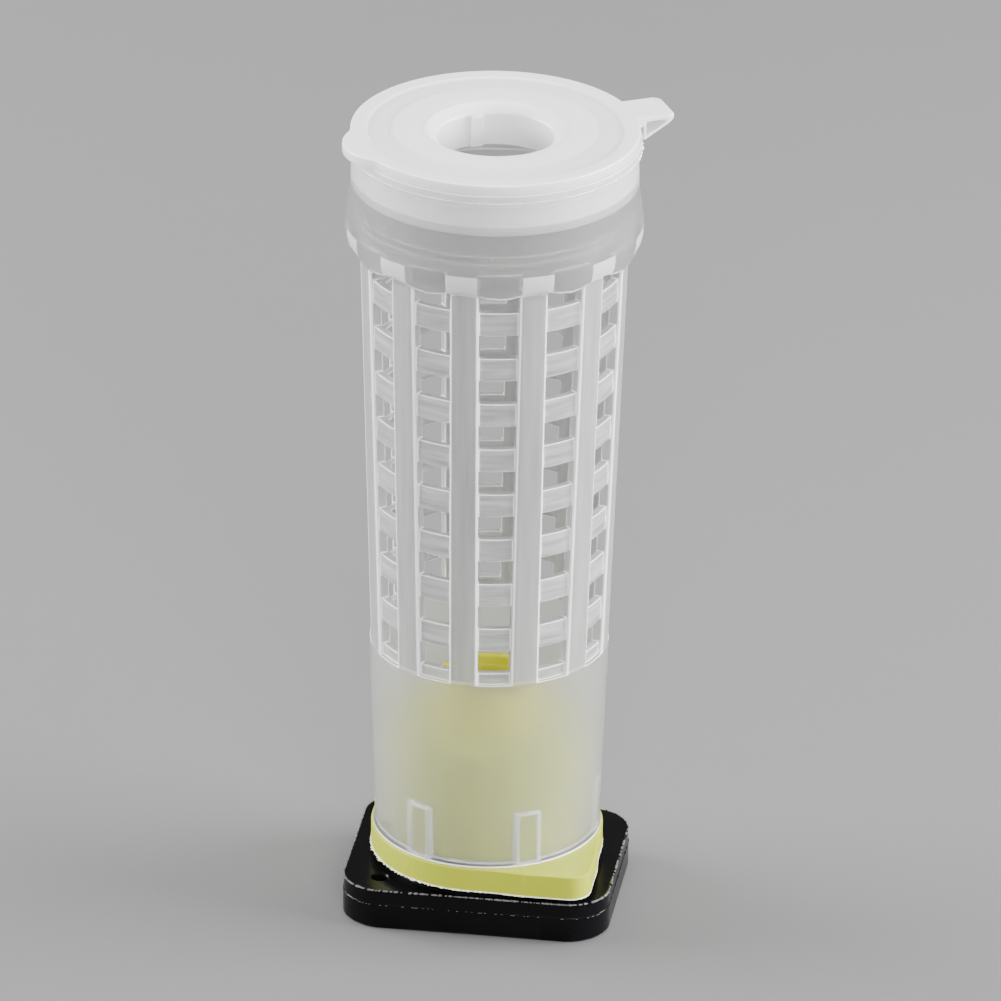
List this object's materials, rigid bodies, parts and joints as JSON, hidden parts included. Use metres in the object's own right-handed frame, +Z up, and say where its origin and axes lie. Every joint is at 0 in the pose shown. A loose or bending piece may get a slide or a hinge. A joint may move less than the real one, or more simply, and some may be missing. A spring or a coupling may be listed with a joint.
{
  "type": "queen cage",
  "caption": "Latticed roller cage standing over a cell cup in its holder, on a nail-down block, with a snap-in end cap that has a feed hole and a pull tab.",
  "frame": {"origin": "centre of the bar block's flat underside, on the cage's axis", "axes": "+Z up the cage's axis towards the cap; +X along the block's long side, and +Y across it, so the holder's visible square corner points to +X -Y"},
  "size_m": [0.0301, 0.028, 0.0795],
  "materials": {
    "black_plastic": "black moulded plastic, half gloss, with a ragged flash edge",
    "yellow_plastic": "pale yellow-green moulded polypropylene, satin",
    "cup_plastic": "yellow moulded polypropylene, satin, slightly see-through",
    "milky_plastic": "natural milky polypropylene, satin, lets light and colour through"
  },
  "bodies": {
    "block": {"bar_block": "black_plastic"},
    "holder": {"cup_holder": "yellow_plastic"},
    "cup": {"cell_cup": "cup_plastic"},
    "tube": {"cage_tube": "milky_plastic"},
    "cap": {"cage_cap": "milky_plastic"}
  },
  "joints": [
    {"name": "holder_pull", "type": "slide", "parent": "block", "child": "holder", "axis": [0, 0, 1], "range_m": [0, 0.01]},
    {"name": "cup_pull", "type": "slide", "parent": "holder", "child": "cup", "axis": [0, 0, 1], "range_m": [0, 0.008]},
    {"name": "tube_pull", "type": "slide", "parent": "holder", "child": "tube", "axis": [0, 0, 1], "range_m": [0, 0.02]},
    {"name": "cap_pull", "type": "slide", "parent": "tube", "child": "cap", "axis": [0, 0, 1], "range_m": [0, 0.012]}
  ]
}
